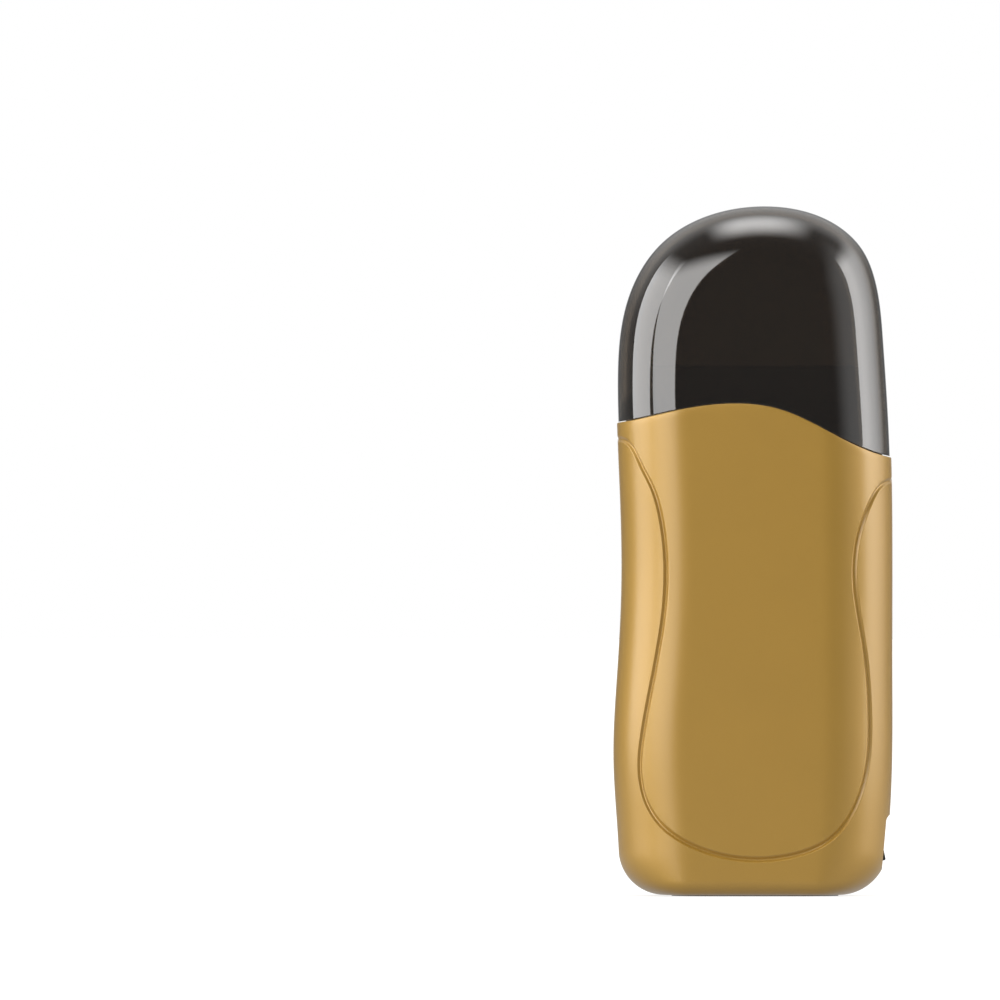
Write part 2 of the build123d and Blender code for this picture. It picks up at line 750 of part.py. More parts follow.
def leads():
    pin_x = pin_pitch / 2
    blade_x = bezel_x - switch_body - terminal_length
    common_z = switch_z
    far_z = switch_z - terminal_pitch
    low_z = heater_z - stack_height / 2
    inner_lead_y = cup_rear + film_thick + electrode_thick + lead_radius
    outer_lead_y = clamp_y - film_thick - electrode_thick - lead_radius
    side_x = lead_ways()[3][0]
    sensor_x = cup_side + thermostat_size[0] / 2
    fuse_x = cup_side + fuse_radius
    sensor_z = thermostat_low_z()
    fuse_end = fuse_length / 2
    round_x = cup_side + 2.4
    round_y = cup_rear + 3.4
    routes = {
        "live_lead": [(pin_x, tail_y, inlet_z), (pin_x, tail_y - 4, inlet_z),
                      (pin_x - 1, switch_y + 2, far_z + 3), (blade_x - 6, switch_y, far_z),
                      (blade_x, switch_y, far_z)],
        "switched_lead": [(blade_x, switch_y, common_z), (blade_x - 5, switch_y, common_z),
                          (blade_x - 6, -6, common_z + 2), (blade_x + 4, -10, common_z + 4),
                          (blade_x + 14, -9, common_z + 7), (side_x, -6, cup_floor_z - 8),
                          (side_x, -6, cup_floor_z + 5), (sensor_x, -2, sensor_z - 5),
                          (sensor_x, -2, sensor_z)],
        "heater_lead": [(sensor_x, 2, sensor_z), (sensor_x, 2, sensor_z - 5),
                        (round_x, 12, low_z - 9), (round_x - 9, round_y, low_z - 9),
                        (tab_x + 4, outer_lead_y - 0.3, low_z - 8.8), (tab_x, outer_lead_y, low_z - 5),
                        (tab_x, outer_lead_y, low_z - 1)],
        "return_lead": [(-tab_x, inner_lead_y, low_z - 1), (-tab_x, inner_lead_y, low_z - 5),
                        (-tab_x - 4, inner_lead_y + 0.8, low_z - 8), (-round_x + 9, round_y, low_z - 7),
                        (-round_x, 14, low_z - 1), (-fuse_x, fuse_end + 4, fuse_z),
                        (-fuse_x, fuse_end, fuse_z)],
        "neutral_lead": [(-fuse_x, -fuse_end, fuse_z), (-fuse_x, -fuse_end - 4, fuse_z),
                         (-side_x, -8, fuse_z - 9), (-side_x, -6, cup_floor_z + 2),
                         (-side_x, -6, cup_floor_z - 6), (-side_x + 8, -4, inlet_z + 1),
                         (-pin_x - 6, 0, inlet_z), (-pin_x, tail_y - 5, inlet_z),
                         (-pin_x, tail_y, inlet_z)],
    }
    return {name: lead(points) for name, points in routes.items()}


# ---------------------------------------------------------------- writing the nodes
def solids_of(shape):
    if isinstance(shape, (list, tuple)):
        return [solid for item in shape for solid in solids_of(item)]
    return list(shape.solids())


def main():
    os.makedirs("parts", exist_ok=True)
    nodes = {
        "front_shell": front_shell(),
        "rear_shell": rear_shell(),
        "case_screws": case_screws(),
        "base_pad": base_pad(),
        "dome_cover": dome_cover(),
        "neck_collar": neck_collar(),
        "cup_seat": cup_seat(),
        "heating_cup": heating_cup(),
        "insulation_wrap": insulation_wrap(),
        "ptc_tiles": ptc_tiles(),
        "inner_electrode": electrode(cup_rear + film_thick, -1),
        "outer_electrode": electrode(clamp_y - film_thick - electrode_thick, 1),
        "insulating_films": insulating_films(),
        "clamp_plate": clamp_plate(),
        "clamp_screws": clamp_screws(),
        "thermostat": thermostat(),
        "thermostat_clip": thermostat_clip(),
        "thermal_fuse": thermal_fuse(),
        "fuse_clip": fuse_clip(),
        "clip_screws": clip_screws(),
        "switch_housing": switch_housing(),
        "switch_terminals": switch_terminals(),
        "rocker": rocker(),
        "contact_bridge": contact_bridge(),
        "power_inlet": power_inlet(),
        "inlet_pins": inlet_pins(),
        "crimp_sleeves": crimp_sleeves(),
    }
    nodes.update(leads())
    for name, shape in nodes.items():
        export_step(Compound(children=solids_of(shape), label=name), f"parts/{name}.step")


main()
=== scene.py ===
import bmesh
import bpy
import json
import math
import numpy as np
from mathutils import Matrix, Vector


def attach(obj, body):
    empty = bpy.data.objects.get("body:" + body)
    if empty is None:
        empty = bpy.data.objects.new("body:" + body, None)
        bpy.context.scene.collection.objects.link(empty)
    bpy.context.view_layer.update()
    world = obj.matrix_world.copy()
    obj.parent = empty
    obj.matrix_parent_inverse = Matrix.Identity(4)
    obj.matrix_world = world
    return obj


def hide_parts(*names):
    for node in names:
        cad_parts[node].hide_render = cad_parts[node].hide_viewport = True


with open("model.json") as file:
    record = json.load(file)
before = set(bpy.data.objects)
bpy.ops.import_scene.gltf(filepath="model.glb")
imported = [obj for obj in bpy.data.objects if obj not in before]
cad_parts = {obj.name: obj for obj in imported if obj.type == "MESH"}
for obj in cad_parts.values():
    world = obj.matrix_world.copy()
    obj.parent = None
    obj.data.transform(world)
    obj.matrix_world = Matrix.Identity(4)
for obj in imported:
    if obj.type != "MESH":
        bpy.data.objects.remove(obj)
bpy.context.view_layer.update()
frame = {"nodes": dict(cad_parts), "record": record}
nodes = frame["nodes"]

# Shapes are worked out in millimetres and brought to metres when a piece is finished.
millimetre = 0.001
mergeWithin = 1e-4      # points nearer than this are made one
nearRim = 0.3           # edges within this height of a rim line count as the rim's own
nearSeam = 0.02

caseForm = {
    "halfWidth": 37.85, "halfDepth": 28.0, "height": 190.0, "padStand": 0.4,
    "edgeRound": 19.0, "baseRound": 11.8, "baseFrontRound": 3.8, "wall": 2.2,
    "seamY": 12.0, "seamGap": 0.1,
    # outline seen from the front: inset from the half width, and height
    "leftSide": [(0.85, 0), (0.05, 17), (-1.15, 38), (-0.15, 61), (1.05, 87), (-0.05, 127)],
    "leftShoulder": [(-0.35, 46), (2.15, 26.5), (11.2, 10.6)],     # depth below the top
    "domeTop": (2.6, 190.35),
    "rightShoulder": [(13.4, 6.1), (8.0, 11.7), (4.45, 20), (2.15, 37)],
    "rightSide": [(0.35, 122), (0, 100), (0, 62), (0.3, 30), (2.55, 0)],
    # wave line between case and cover
    "wave": [(-48, 129.6), (-37, 130.5), (-21, 133.8), (-7.5, 135.5), (6, 134.2), (22.3, 126.8),
             (36, 121.2), (48, 119.6)],
    "outlineSteps": 3000, "waveSteps": 800,
}


def smoothLine(points, count):
    # natural cubic spline by chord length, as an array of count points
    pts = np.array(points, float)
    steps = np.hypot(*np.diff(pts, axis=0).T)
    knots = np.concatenate([[0], np.cumsum(steps)])
    last = len(pts) - 1
    system = np.eye(last + 1)
    right = np.zeros((last + 1, 2))
    for i in range(1, last):
        system[i, i - 1:i + 2] = steps[i - 1], 2 * (steps[i - 1] + steps[i]), steps[i]
        right[i] = 6 * ((pts[i + 1] - pts[i]) / steps[i] - (pts[i] - pts[i - 1]) / steps[i - 1])
    bend = np.linalg.solve(system, right)
    t = np.linspace(0, knots[-1], count)
    i = np.clip(np.searchsorted(knots, t, side="right") - 1, 0, last - 1)
    a = (knots[i + 1] - t)[:, None]
    b = (t - knots[i])[:, None]
    h = steps[i][:, None]
    cubic = (bend[i] * a**3 + bend[i + 1] * b**3) / (6 * h)
    return cubic + (pts[i] / h - bend[i] * h / 6) * a + (pts[i + 1] / h - bend[i + 1] * h / 6) * b


def caseOutline(form):
    half, top = form["halfWidth"], form["height"]
    points = [(-half + inset, z) for inset, z in form["leftSide"]]
    points += [(-half + inset, top - drop) for inset, drop in form["leftShoulder"]]
    points += [form["domeTop"]]
    points += [(half - inset, top - drop) for inset, drop in form["rightShoulder"]]
    points += [(half - inset, z) for inset, z in form["rightSide"]]
    return smoothLine(points, form["outlineSteps"])


outline = caseOutline(caseForm)
slope = np.gradient(outline, axis=0)
slope /= np.hypot(slope[:, 0], slope[:, 1])[:, None]
inward = np.stack([slope[:, 1], -slope[:, 0]], axis=1)
topIndex = int(np.argmax(outline[:, 1]))
waveLine = smoothLine(caseForm["wave"], caseForm["waveSteps"])


def waveHeight(x):
    return np.interp(x, waveLine[:, 0], waveLine[:, 1])


def sideX(side, z):
    # x of the outline's left or right side at a height
    leg = outline[:topIndex] if side < 0 else outline[topIndex:][::-1]
    return np.interp(z, leg[:, 1], leg[:, 0])


def gridFrom(rows, closedAround=False):
    # A grid laid over rows of points. The rows all hold the same number of points.
    across, up = len(rows[0]), len(rows)
    bm = bmesh.new()
    bmesh.ops.create_grid(bm, x_segments=across - 1, y_segments=up - 1, size=0.5)
    for vert in bm.verts:
        column = round((vert.co.x + 0.5) * (across - 1))
        row = round((vert.co.y + 0.5) * (up - 1))
        vert.co = rows[row][column]
    if closedAround:
        bmesh.ops.remove_doubles(bm, verts=bm.verts, dist=mergeWithin)
    return bm


def joinInto(target, source):
    spare = bpy.data.meshes.new("spare")
    source.to_mesh(spare)
    source.free()
    target.from_mesh(spare)
    bpy.data.meshes.remove(spare)


def boxBetween(low, high):
    bm = bmesh.new()
    bmesh.ops.create_cube(bm, size=1)
    size = Vector(high) - Vector(low)
    bmesh.ops.scale(bm, vec=size, verts=bm.verts)
    bmesh.ops.translate(bm, vec=(Vector(high) + Vector(low)) / 2, verts=bm.verts)
    return bm


def rodBetween(start, end, radius, segments):
    start, end = Vector(start), Vector(end)
    bm = bmesh.new()
    bmesh.ops.create_cone(bm, cap_ends=True, segments=segments, radius1=radius, radius2=radius,
                          depth=(end - start).length)
    turn = Vector((0, 0, 1)).rotation_difference(end - start).to_matrix().to_4x4()
    bmesh.ops.transform(bm, matrix=Matrix.Translation((start + end) / 2) @ turn, verts=bm.verts)
    return bm


def roundedBlock(width, height, corner, low, high, segments=8):
    # Upright block with rounded corners, its outline in x and y, from low to high.
    bm = boxBetween((-width / 2, -height / 2, low), (width / 2, height / 2, high))
    upright = [edge for edge in bm.edges if abs(edge.verts[0].co.z - edge.verts[1].co.z) > 1e-6]
    bmesh.ops.bevel(bm, geom=upright, offset=corner, offset_type="OFFSET", segments=segments, profile=0.5,
                    affect="EDGES", material=-1, clamp_overlap=False)
    return bm


def turned(bm, matrix):
    bmesh.ops.transform(bm, matrix=matrix, verts=bm.verts)
    return bm


def asObject(name, bm):
    bmesh.ops.recalc_face_normals(bm, faces=bm.faces)
    mesh = bpy.data.meshes.new(name)
    bm.to_mesh(mesh)
    bm.free()
    piece = bpy.data.objects.new(name, mesh)
    bpy.context.scene.collection.objects.link(piece)
    return piece


def applyModifiers(piece):
    depsgraph = bpy.context.evaluated_depsgraph_get()
    depsgraph.update()
    result = bpy.data.meshes.new_from_object(piece.evaluated_get(depsgraph))
    piece.modifiers.clear()
    spent = piece.data
    piece.data = result
    bpy.data.meshes.remove(spent)


def backToBmesh(piece):
    # Takes the mesh out of its object, which goes with it.
    bm = bmesh.new()
    bm.from_mesh(piece.data)
    bpy.data.meshes.remove(piece.data)
    return bm


def carve(bm, cutters, operation="DIFFERENCE"):
    # Cuts each closed mesh from bm, or joins it on, and returns the result.
    body = asObject("body", bm)
    for cutter in cutters:
        tool = asObject("tool", cutter)
        step = body.modifiers.new("step", "BOOLEAN")
        step.operation = operation
        step.solver = "EXACT"
        step.object = tool
        applyModifiers(body)
        bpy.data.meshes.remove(tool.data)
    return backToBmesh(body)


def finishPiece(name, bm, body, slot, replaced, creaseAngle=14):
    bmesh.ops.remove_doubles(bm, verts=bm.verts, dist=mergeWithin)
    bmesh.ops.dissolve_degenerate(bm, edges=bm.edges, dist=mergeWithin)
    bmesh.ops.scale(bm, vec=(millimetre,) * 3, verts=bm.verts)
    for face in bm.faces:
        face.smooth = True
    for edge in bm.edges:
        edge.smooth = len(edge.link_faces) == 2 and edge.calc_face_angle(0) < math.radians(creaseAngle)
    piece = asObject(name, bm)
    piece.data.materials.append(materials[slot])
    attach(piece, body)
    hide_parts(*replaced)
    print("made", name, len(piece.data.polygons), "faces")


shellBuild = {"sideSteps": 8, "arcSteps": 20, "flatSteps": 26, "tailSteps": 3, "wallRows": 64,
              "baseRows": 20, "floorRows": 8, "rimRound": 0.4, "seamRound": 0.18}
settleRounds = 4


def seamPlace(part):
    return caseForm["seamY"] + (-0.5 if part == "front" else 0.5) * caseForm["seamGap"]


def caseRing(part, insetX, insetY, zOf):
    # One row of the front or rear shell, from the seam on the right round to the seam on the left.
    # zOf gives the row's height at an x, and as x itself hangs on that height, both are worked out in turn.
    form, build = caseForm, shellBuild
    reachX, reachY = form["edgeRound"] - insetX, form["edgeRound"] - insetY
    centreY = form["halfDepth"] - form["edgeRound"]
    tail = math.asin((seamPlace(part) - centreY) / reachY)
    quarter = math.pi / 2
    arcSteps = build["arcSteps"]
    places = []      # kind of stretch, with the angle, the y or the share along it
    if part == "front":
        places += [("rear", tail * (1 - i / build["tailSteps"])) for i in range(build["tailSteps"])]
        places += [("side", centreY * (1 - 2 * i / build["sideSteps"])) for i in range(build["sideSteps"])]
        places += [("front", quarter * i / arcSteps) for i in range(arcSteps)]
    else:
        places += [("rear", tail + (quarter - tail) * i / arcSteps) for i in range(arcSteps)]
    places += [("flat", i / build["flatSteps"]) for i in range(build["flatSteps"] // 2 + 1)]
    rows = []
    for side in (1, -1):
        run = []
        for kind, value in places:
            x = side * form["halfWidth"]
            for _ in range(settleRounds):
                z = float(zOf(x))
                centreX = sideX(side, z) - side * form["edgeRound"]
                if kind == "side":
                    x = centreX + side * reachX
                    y = value
                elif kind == "flat":
                    other = sideX(-side, z) + side * form["edgeRound"]
                    x = centreX + (other - centreX) * value
                    y = (centreY + reachY) * (-1 if part == "front" else 1)
                else:
                    x = centreX + side * reachX * math.cos(value)
                    y = (centreY + reachY * math.sin(value)) * (1 if kind == "rear" else -1)
            run.append(Vector((x, y, float(zOf(x)))))
        rows.append(run)
    return rows[0] + rows[1][-2::-1]


def shellRows(part):
    # Rows of the outside, from the seam line under the base up to the wave rim.
    form, build = caseForm, shellBuild
    low = form["padStand"]
    rows = []
    for i in range(build["baseRows"] + 1):
        angle = math.pi / 2 * i / build["baseRows"]
        insetX = form["baseRound"] * (1 - math.sin(angle))
        z = low + form["baseRound"] * (1 - math.cos(angle))
        share = max(0.0, 1 - (z - low) / form["baseFrontRound"])
        insetY = form["baseFrontRound"] * (1 - math.sqrt(1 - share**2))
        rows.append(caseRing(part, insetX, insetY, lambda x, z=z: z))
    start = low + form["baseRound"]
    for i in range(1, build["wallRows"] + 1):
        share = i / build["wallRows"]
        rows.append(caseRing(part, 0, 0, lambda x, s=share: start + (waveHeight(x) - start) * s))
    seam = seamPlace(part)
    first = rows[0]
    reach = first[0].x, first[-1].x
    floor = []
    for i in range(build["floorRows"]):
        share = i / build["floorRows"]
        line = []
        for j, point in enumerate(first):
            x = reach[0] + (reach[1] - reach[0]) * j / (len(first) - 1)
            line.append(Vector((x, seam, low)).lerp(point, share))
        floor.append(line)
    return floor + rows


def thickened(bm, thickness):
    # The wall grows inwards, away from the side the faces look to.
    sheet = asObject("sheet", bm)
    wallStep = sheet.modifiers.new("wall", "SOLIDIFY")
    wallStep.thickness = thickness
    wallStep.offset = -1
    wallStep.use_even_offset = True
    applyModifiers(sheet)
    return backToBmesh(sheet)


def roundOuterEdges(bm, test, radius, segments, sharpAngle=50):
    edges = [edge for edge in bm.edges if edge.calc_face_angle(0) > math.radians(sharpAngle) and test(edge)]
    bmesh.ops.bevel(bm, geom=edges, offset=radius, offset_type="OFFSET", segments=segments, profile=0.5,
                    affect="EDGES", material=-1, clamp_overlap=True)


def offMiddle(face):
    # how far a face is from the middle of the case, seen from the front
    middle = face.calc_center_median()
    return abs(middle.x) + abs(middle.z - caseForm["height"] / 2)


def shellBody(part):
    build = shellBuild
    bm = gridFrom(shellRows(part))
    bmesh.ops.recalc_face_normals(bm, faces=bm.faces)
    probe = min(bm.faces, key=offMiddle)
    outward = -1 if part == "front" else 1
    if probe.normal.y * outward < 0:
        bmesh.ops.reverse_faces(bm, faces=bm.faces)
    bm = thickened(bm, caseForm["wall"])

    def onRim(edge):
        middle = (edge.verts[0].co + edge.verts[1].co) / 2
        return abs(middle.z - waveHeight(middle.x)) < nearRim
    roundOuterEdges(bm, onRim, build["rimRound"], segments=4)
    seam = seamPlace(part)

    def onSeam(edge):
        return all(abs(vert.co.y - seam) < nearSeam for vert in edge.verts) and edge.is_manifold
    roundOuterEdges(bm, onSeam, build["seamRound"], segments=2)
    return bm


grooveForm = {
    # centre line as seen from the front; its two ends run on along the sides, q from the rounded edge's start
    "leftEnd": [(52.5, 126.6), (40.0, 126.4), (30.0, 125.8)],
    "front": [(-34.27, 124.0), (-31.46, 118.7), (-28.1, 112.0), (-25.75, 103.7), (-24.6, 94.8), (-24.5, 84.2),
              (-25.75, 72.6), (-28.5, 57.7), (-31.1, 43.5), (-31.75, 36.0), (-30.6, 28.0), (-27.0, 21.2),
              (-17.0, 14.0), (-8.4, 11.2), (1.4, 10.3), (10.3, 11.4), (19.4, 15.0), (28.6, 27.2),
              (30.95, 36.0), (31.6, 49.8), (30.6, 64.9), (28.85, 75.9), (27.4, 88.4), (28.6, 99.3),
              (31.0, 106.5), (34.2, 112.4)],
    "rightEnd": [(30.0, 114.6), (40.0, 115.8), (52.5, 116.2)],
    # section: across towards the panel, and height over the surface
    "section": [(-1.05, 0.5), (-0.95, 0.03), (-0.76, -0.07), (-0.55, -0.34), (-0.3, -0.62), (-0.08, -0.68),
                (0.14, -0.6), (0.42, -0.36), (0.7, -0.12), (0.95, 0.0), (1.1, 0.03), (1.2, 0.5)],
    # share of the depth that is left on the sides, and where it falls off, as shares of the rounded edge
    "sideDepth": 0.45, "shallowFrom": 0.55, "shallowOver": 0.4, "steps": 460,
}


def onCase(across, z, lift):
    # Point over the case for an unrolled distance across and a height.
    form, shape = caseForm, grooveForm
    side = 1 if across > 0 else -1
    radius = form["edgeRound"]
    centreX = sideX(side, z) - side * radius
    q = side * (across - centreX)
    arc = radius * math.pi / 2
    angle = min(max(q, 0), arc) / radius
    if lift < 0:
        shallow = min(max(q / arc - shape["shallowFrom"], 0) / shape["shallowOver"], 1)
        lift *= 1 - (1 - shape["sideDepth"]) * shallow
    out = radius + lift
    x = centreX + side * (out * math.sin(angle) + min(q, 0))
    y = radius - form["halfDepth"] - out * math.cos(angle) + max(q - arc, 0)
    return Vector((x, y, z))


def groovePath():
    radius, shape = caseForm["edgeRound"], grooveForm

    def unrolled(side, q, z):
        return sideX(side, z) + side * (q - radius), z
    points = [unrolled(-1, q, z) for q, z in shape["leftEnd"]]
    for x, z in shape["front"]:
        side = 1 if x > 0 else -1
        reach = side * (x - sideX(side, z)) + radius
        q = radius * math.asin(min(1, reach / radius)) if reach > 0 else reach
        points.append(unrolled(side, q, z))
    points += [unrolled(1, q, z) for q, z in shape["rightEnd"]]
    return smoothLine(points, shape["steps"])


def grooveCutter():
    path = groovePath()
    along = np.gradient(path, axis=0)
    along /= np.hypot(along[:, 0], along[:, 1])[:, None]
    inside = np.stack([-along[:, 1], along[:, 0]], axis=1)
    section = grooveForm["section"]
    rows = []
    for point, normal in zip(path, inside):
        row = [onCase(*(point + normal * across), lift) for across, lift in section]
        rows.append(row + [row[0]])
    bm = gridFrom(rows, closedAround=True)
    ends = [edge for edge in bm.edges if edge.is_boundary]
    bmesh.ops.holes_fill(bm, edges=ends, sides=0)
    return bm


coverForm = {"step": 0.35, "wall": 2.4, "gap": 0.15, "rimRound": 0.15,
             "lipDepth": 4.0, "lipRise": 0.9, "lipThick": 1.0, "lipInset": 2.45,
             "rise": 60, "flatSteps": 12, "arcSteps": 20, "sideSteps": 6, "fadePower": 3}


def coverLeg(side, inset):
    # Points up one side of the outline drawn in by the inset, from the wave to the top.
    gap, count = coverForm["gap"], coverForm["rise"] + 1
    line = outline + inward * inset
    leg = line[:topIndex + 1] if side < 0 else line[topIndex:][::-1]
    over = leg[:, 1] - waveHeight(leg[:, 0]) - gap
    start = int(np.argmax(over > 0))
    share = over[start - 1] / (over[start - 1] - over[start])
    foot = leg[start - 1] + (leg[start] - leg[start - 1]) * share
    leg = np.vstack([foot, leg[start:]])
    length = np.concatenate([[0], np.cumsum(np.hypot(*np.diff(leg, axis=0).T))])
    at = np.linspace(0, length[-1], count)
    return np.stack([np.interp(at, length, leg[:, 0]), np.interp(at, length, leg[:, 1])], axis=1)


def coverRows(inset):
    # Rings that climb from the wave line and close along the ridge of the dome. The flat faces' rows
    # start along the wave and straighten as they climb.
    form, build = caseForm, coverForm
    radius = form["edgeRound"] - inset
    centreY = form["halfDepth"] - form["edgeRound"]
    faceY = centreY + radius
    arc = [math.pi / 2 * i / build["arcSteps"] for i in range(build["arcSteps"] + 1)]
    legs = {side: [coverLeg(side, inset + radius * (1 - math.sin(a))) for a in arc] for side in (-1, 1)}
    topX = outline[topIndex, 0]
    rows = []
    for k in range(build["rise"] + 1):
        fade = (1 - k / build["rise"])**build["fadePower"]
        middleZ = (legs[-1][0][k][1] + legs[1][0][k][1]) / 2
        startZ = (legs[-1][0][0][1] + legs[1][0][0][1]) / 2

        def flat(side, share, y):
            edge, foot = legs[side][0][k], legs[side][0][0]
            x = topX + (edge[0] - topX) * share
            bottomShare = (x - topX) / (foot[0] - topX)
            bow = waveHeight(x) + build["gap"] - (startZ + (foot[1] - startZ) * bottomShare)
            return Vector((x, y, middleZ + (edge[1] - middleZ) * share + bow * fade))

        def rounded(side, way, i):
            x, z = legs[side][i][k]
            return Vector((x, way * (centreY + radius * math.cos(arc[i])), z))
        ring = []
        for side in (-1, 1):
            half = [flat(side, j / build["flatSteps"], -faceY) for j in range(build["flatSteps"])]
            half += [rounded(side, -1, i) for i in range(len(arc))]
            for j in range(1, build["sideSteps"]):
                y = -centreY + 2 * centreY * j / build["sideSteps"]
                half.append(Vector((half[-1].x, y, half[-1].z)))
            half += [rounded(side, 1, i) for i in reversed(range(len(arc)))]
            half += [flat(side, 1 - j / build["flatSteps"], faceY) for j in range(1, build["flatSteps"] + 1)]
            ring += half if side < 0 else half[::-1][1:]
        rows.append(ring)
    return rows


def lipRing(inset, rise):
    # Row round the whole case at a height over the wave line.
    form, build = caseForm, coverForm
    radius = form["edgeRound"] - inset
    centreY = form["halfDepth"] - form["edgeRound"]
    steps = build["arcSteps"]
    ring = []
    for side, forward in ((-1, 1), (1, -1)):
        turns = [(-1, math.pi / 2 * i / steps) for i in range(steps + 1)]
        turns += [(1, math.pi / 2 * (1 - i / steps)) for i in range(steps + 1)]
        for way, angle in turns[::forward]:
            x = side * form["halfWidth"]
            for _ in range(settleRounds):
                centreX = sideX(side, float(waveHeight(x)) + rise) - side * form["edgeRound"]
                x = centreX + side * radius * math.sin(angle)
            y = way * (centreY + radius * math.cos(angle))
            ring.append(Vector((x, y, float(waveHeight(x)) + rise)))
    smooth = []      # the same ring with the long flat stretches divided
    for here, there in zip(ring, ring[1:] + ring[:1]):
        parts = build["flatSteps"] * 2 if (there - here).length > form["edgeRound"] / 2 else 1
        for j in range(parts):
            x = here.x + (there.x - here.x) * j / parts
            y = here.y + (there.y - here.y) * j / parts
            smooth.append(Vector((x, y, float(waveHeight(x)) + rise)))
    return smooth + smooth[:1]


def coverBody():
    build = coverForm
    bm = gridFrom(coverRows(build["step"]), closedAround=True)
    joinInto(bm, gridFrom(coverRows(build["step"] + build["wall"]), closedAround=True))
    bmesh.ops.bridge_loops(bm, edges=[edge for edge in bm.edges if edge.is_boundary])
    bmesh.ops.recalc_face_normals(bm, faces=bm.faces)

    def onFoot(edge):
        middle = (edge.verts[0].co + edge.verts[1].co) / 2
        return abs(middle.z - waveHeight(middle.x) - build["gap"]) < nearRim
    roundOuterEdges(bm, onFoot, build["rimRound"], segments=3)
    outer, inner = build["lipInset"], build["lipInset"] + build["lipThick"]
    lipRows = [lipRing(outer, -build["lipDepth"]), lipRing(outer, build["lipRise"]),
               lipRing(inner, build["lipRise"]), lipRing(inner, -build["lipDepth"])]
    lip = gridFrom(lipRows + lipRows[:1], closedAround=True)
    return carve(bm, [lip], "UNION")


switchForm = {"y": 3.0, "z": 14.9, "faceX": 34.55, "bezel": (15.1, 11.7), "bezelX": 33.35, "bezelCorner": 1.6,
              "body": (14.26, 10.2), "bodyX": 21.35, "bodyCorner": 0.4,
              # land round the switch: rise over the bezel, lean in degrees, its step's height over the middle
              "landRise": 1.05, "landTilt": 5.0, "landTop": 6.6, "stepRound": 0.7,
              # how far the land's cutter goes past the case's front and back, below the base and outwards
              "landEnds": 4.0, "landUnder": 2.0, "landOut": 6.0}
inletForm = {"z": 20.0, "flange": (26.2, 16.2), "body": (21.2, 12.6), "flangeDepth": 1.2, "bodyDepth": 6.0}
screwForm = {"upper": (32.6, 100.0), "lower": (20.0, 28.5), "bossRadius": 3.2, "headRadius": 3.0,
             "shankRadius": 1.6, "pilotRadius": 1.47, "shoulder": 2.5, "length": 10.0,
             # overlap of the holes at the seam and past the back, and sides of the round holes
             "overSeam": 1.0, "overBack": 2.0, "sides": 32, "headSides": 40}
padForm = {"size": (46.2, 22.2), "depth": 1.2, "under": 1.0}
beyond = 5.0      # how far the switch's and the inlet's cutters reach past the case


def screwPlaces():
    return [(side * screwForm[row][0], screwForm[row][1]) for row in ("upper", "lower") for side in (-1, 1)]


def slotBlock(length, width, low, high, segments=16):
    # Upright block with ends a hair short of half round, so that no edge is left without length.
    return roundedBlock(length, width, width / 2 - 0.001, low, high, segments)


def landCutter():
    # Wedge right across the side. Its upper face is the slanted step over the land.
    form = switchForm
    lean = math.tan(math.radians(form["landTilt"]))
    middleX = form["faceX"] + form["landRise"]
    topZ = form["z"] + form["landTop"]
    topX = middleX + lean * form["landTop"]
    reach = caseForm["halfDepth"] + form["landEnds"]
    outX, lowZ = topX + form["landOut"], -form["landUnder"]
    bm = bmesh.new()
    corners = [(topX, topZ), (outX, topZ + form["landOut"]), (outX, lowZ),
               (middleX - lean * (form["z"] - lowZ), lowZ)]
    face = bm.faces.new([bm.verts.new((x, -reach, z)) for x, z in corners])
    grown = bmesh.ops.extrude_face_region(bm, geom=[face])
    far = [item for item in grown["geom"] if isinstance(item, bmesh.types.BMVert)]
    bmesh.ops.translate(bm, vec=(0, 2 * reach, 0), verts=far)
    step = [edge for edge in bm.edges
            if all(abs(vert.co.x - topX) + abs(vert.co.z - topZ) < mergeWithin for vert in edge.verts)]
    bmesh.ops.bevel(bm, geom=step, offset=form["stepRound"], offset_type="OFFSET", segments=5, profile=0.5,
                    affect="EDGES", material=-1)
    return bm


def switchCutters():
    form = switchForm
    outX = caseForm["halfWidth"] + beyond
    facing = Matrix.Translation((0, form["y"], form["z"])) @ Matrix.Rotation(math.pi / 2, 4, "Y")
    bezel = turned(roundedBlock(*form["bezel"], form["bezelCorner"], form["bezelX"], outX), facing)
    body = turned(roundedBlock(*form["body"], form["bodyCorner"], form["bodyX"], outX), facing)
    return [bezel, body]


def inletCutters():
    form = inletForm
    rearY = caseForm["halfDepth"]
    facing = Matrix.Translation((0, 0, form["z"])) @ Matrix.Rotation(-math.pi / 2, 4, "X")
    flange = turned(slotBlock(*form["flange"], rearY - form["flangeDepth"], rearY + beyond), facing)
    body = turned(slotBlock(*form["body"], rearY - form["bodyDepth"], rearY + beyond), facing)
    return [flange, body]


def bosses(part):
    # Screw bosses, rooted in the wall and ending at the seam.
    seam = seamPlace(part)
    wallY = caseForm["halfDepth"] - caseForm["wall"] / 2
    end = -wallY if part == "front" else wallY
    solids = []
    for x, z in screwPlaces():
        depth = end
        if z == screwForm["upper"][1]:
            # beside the rounded edge, so the boss ends inside that wall
            side = 1 if x > 0 else -1
            centreX = sideX(side, z) - side * caseForm["edgeRound"]
            reach = caseForm["edgeRound"] - caseForm["wall"] / 2
            across = abs(x - centreX) + screwForm["bossRadius"]
            depth = math.copysign(caseForm["halfDepth"] - caseForm["edgeRound"]
                                  + math.sqrt(max(0.0, reach**2 - across**2)), end)
        solids.append(rodBetween((x, seam, z), (x, depth, z), screwForm["bossRadius"], screwForm["sides"]))
    return solids


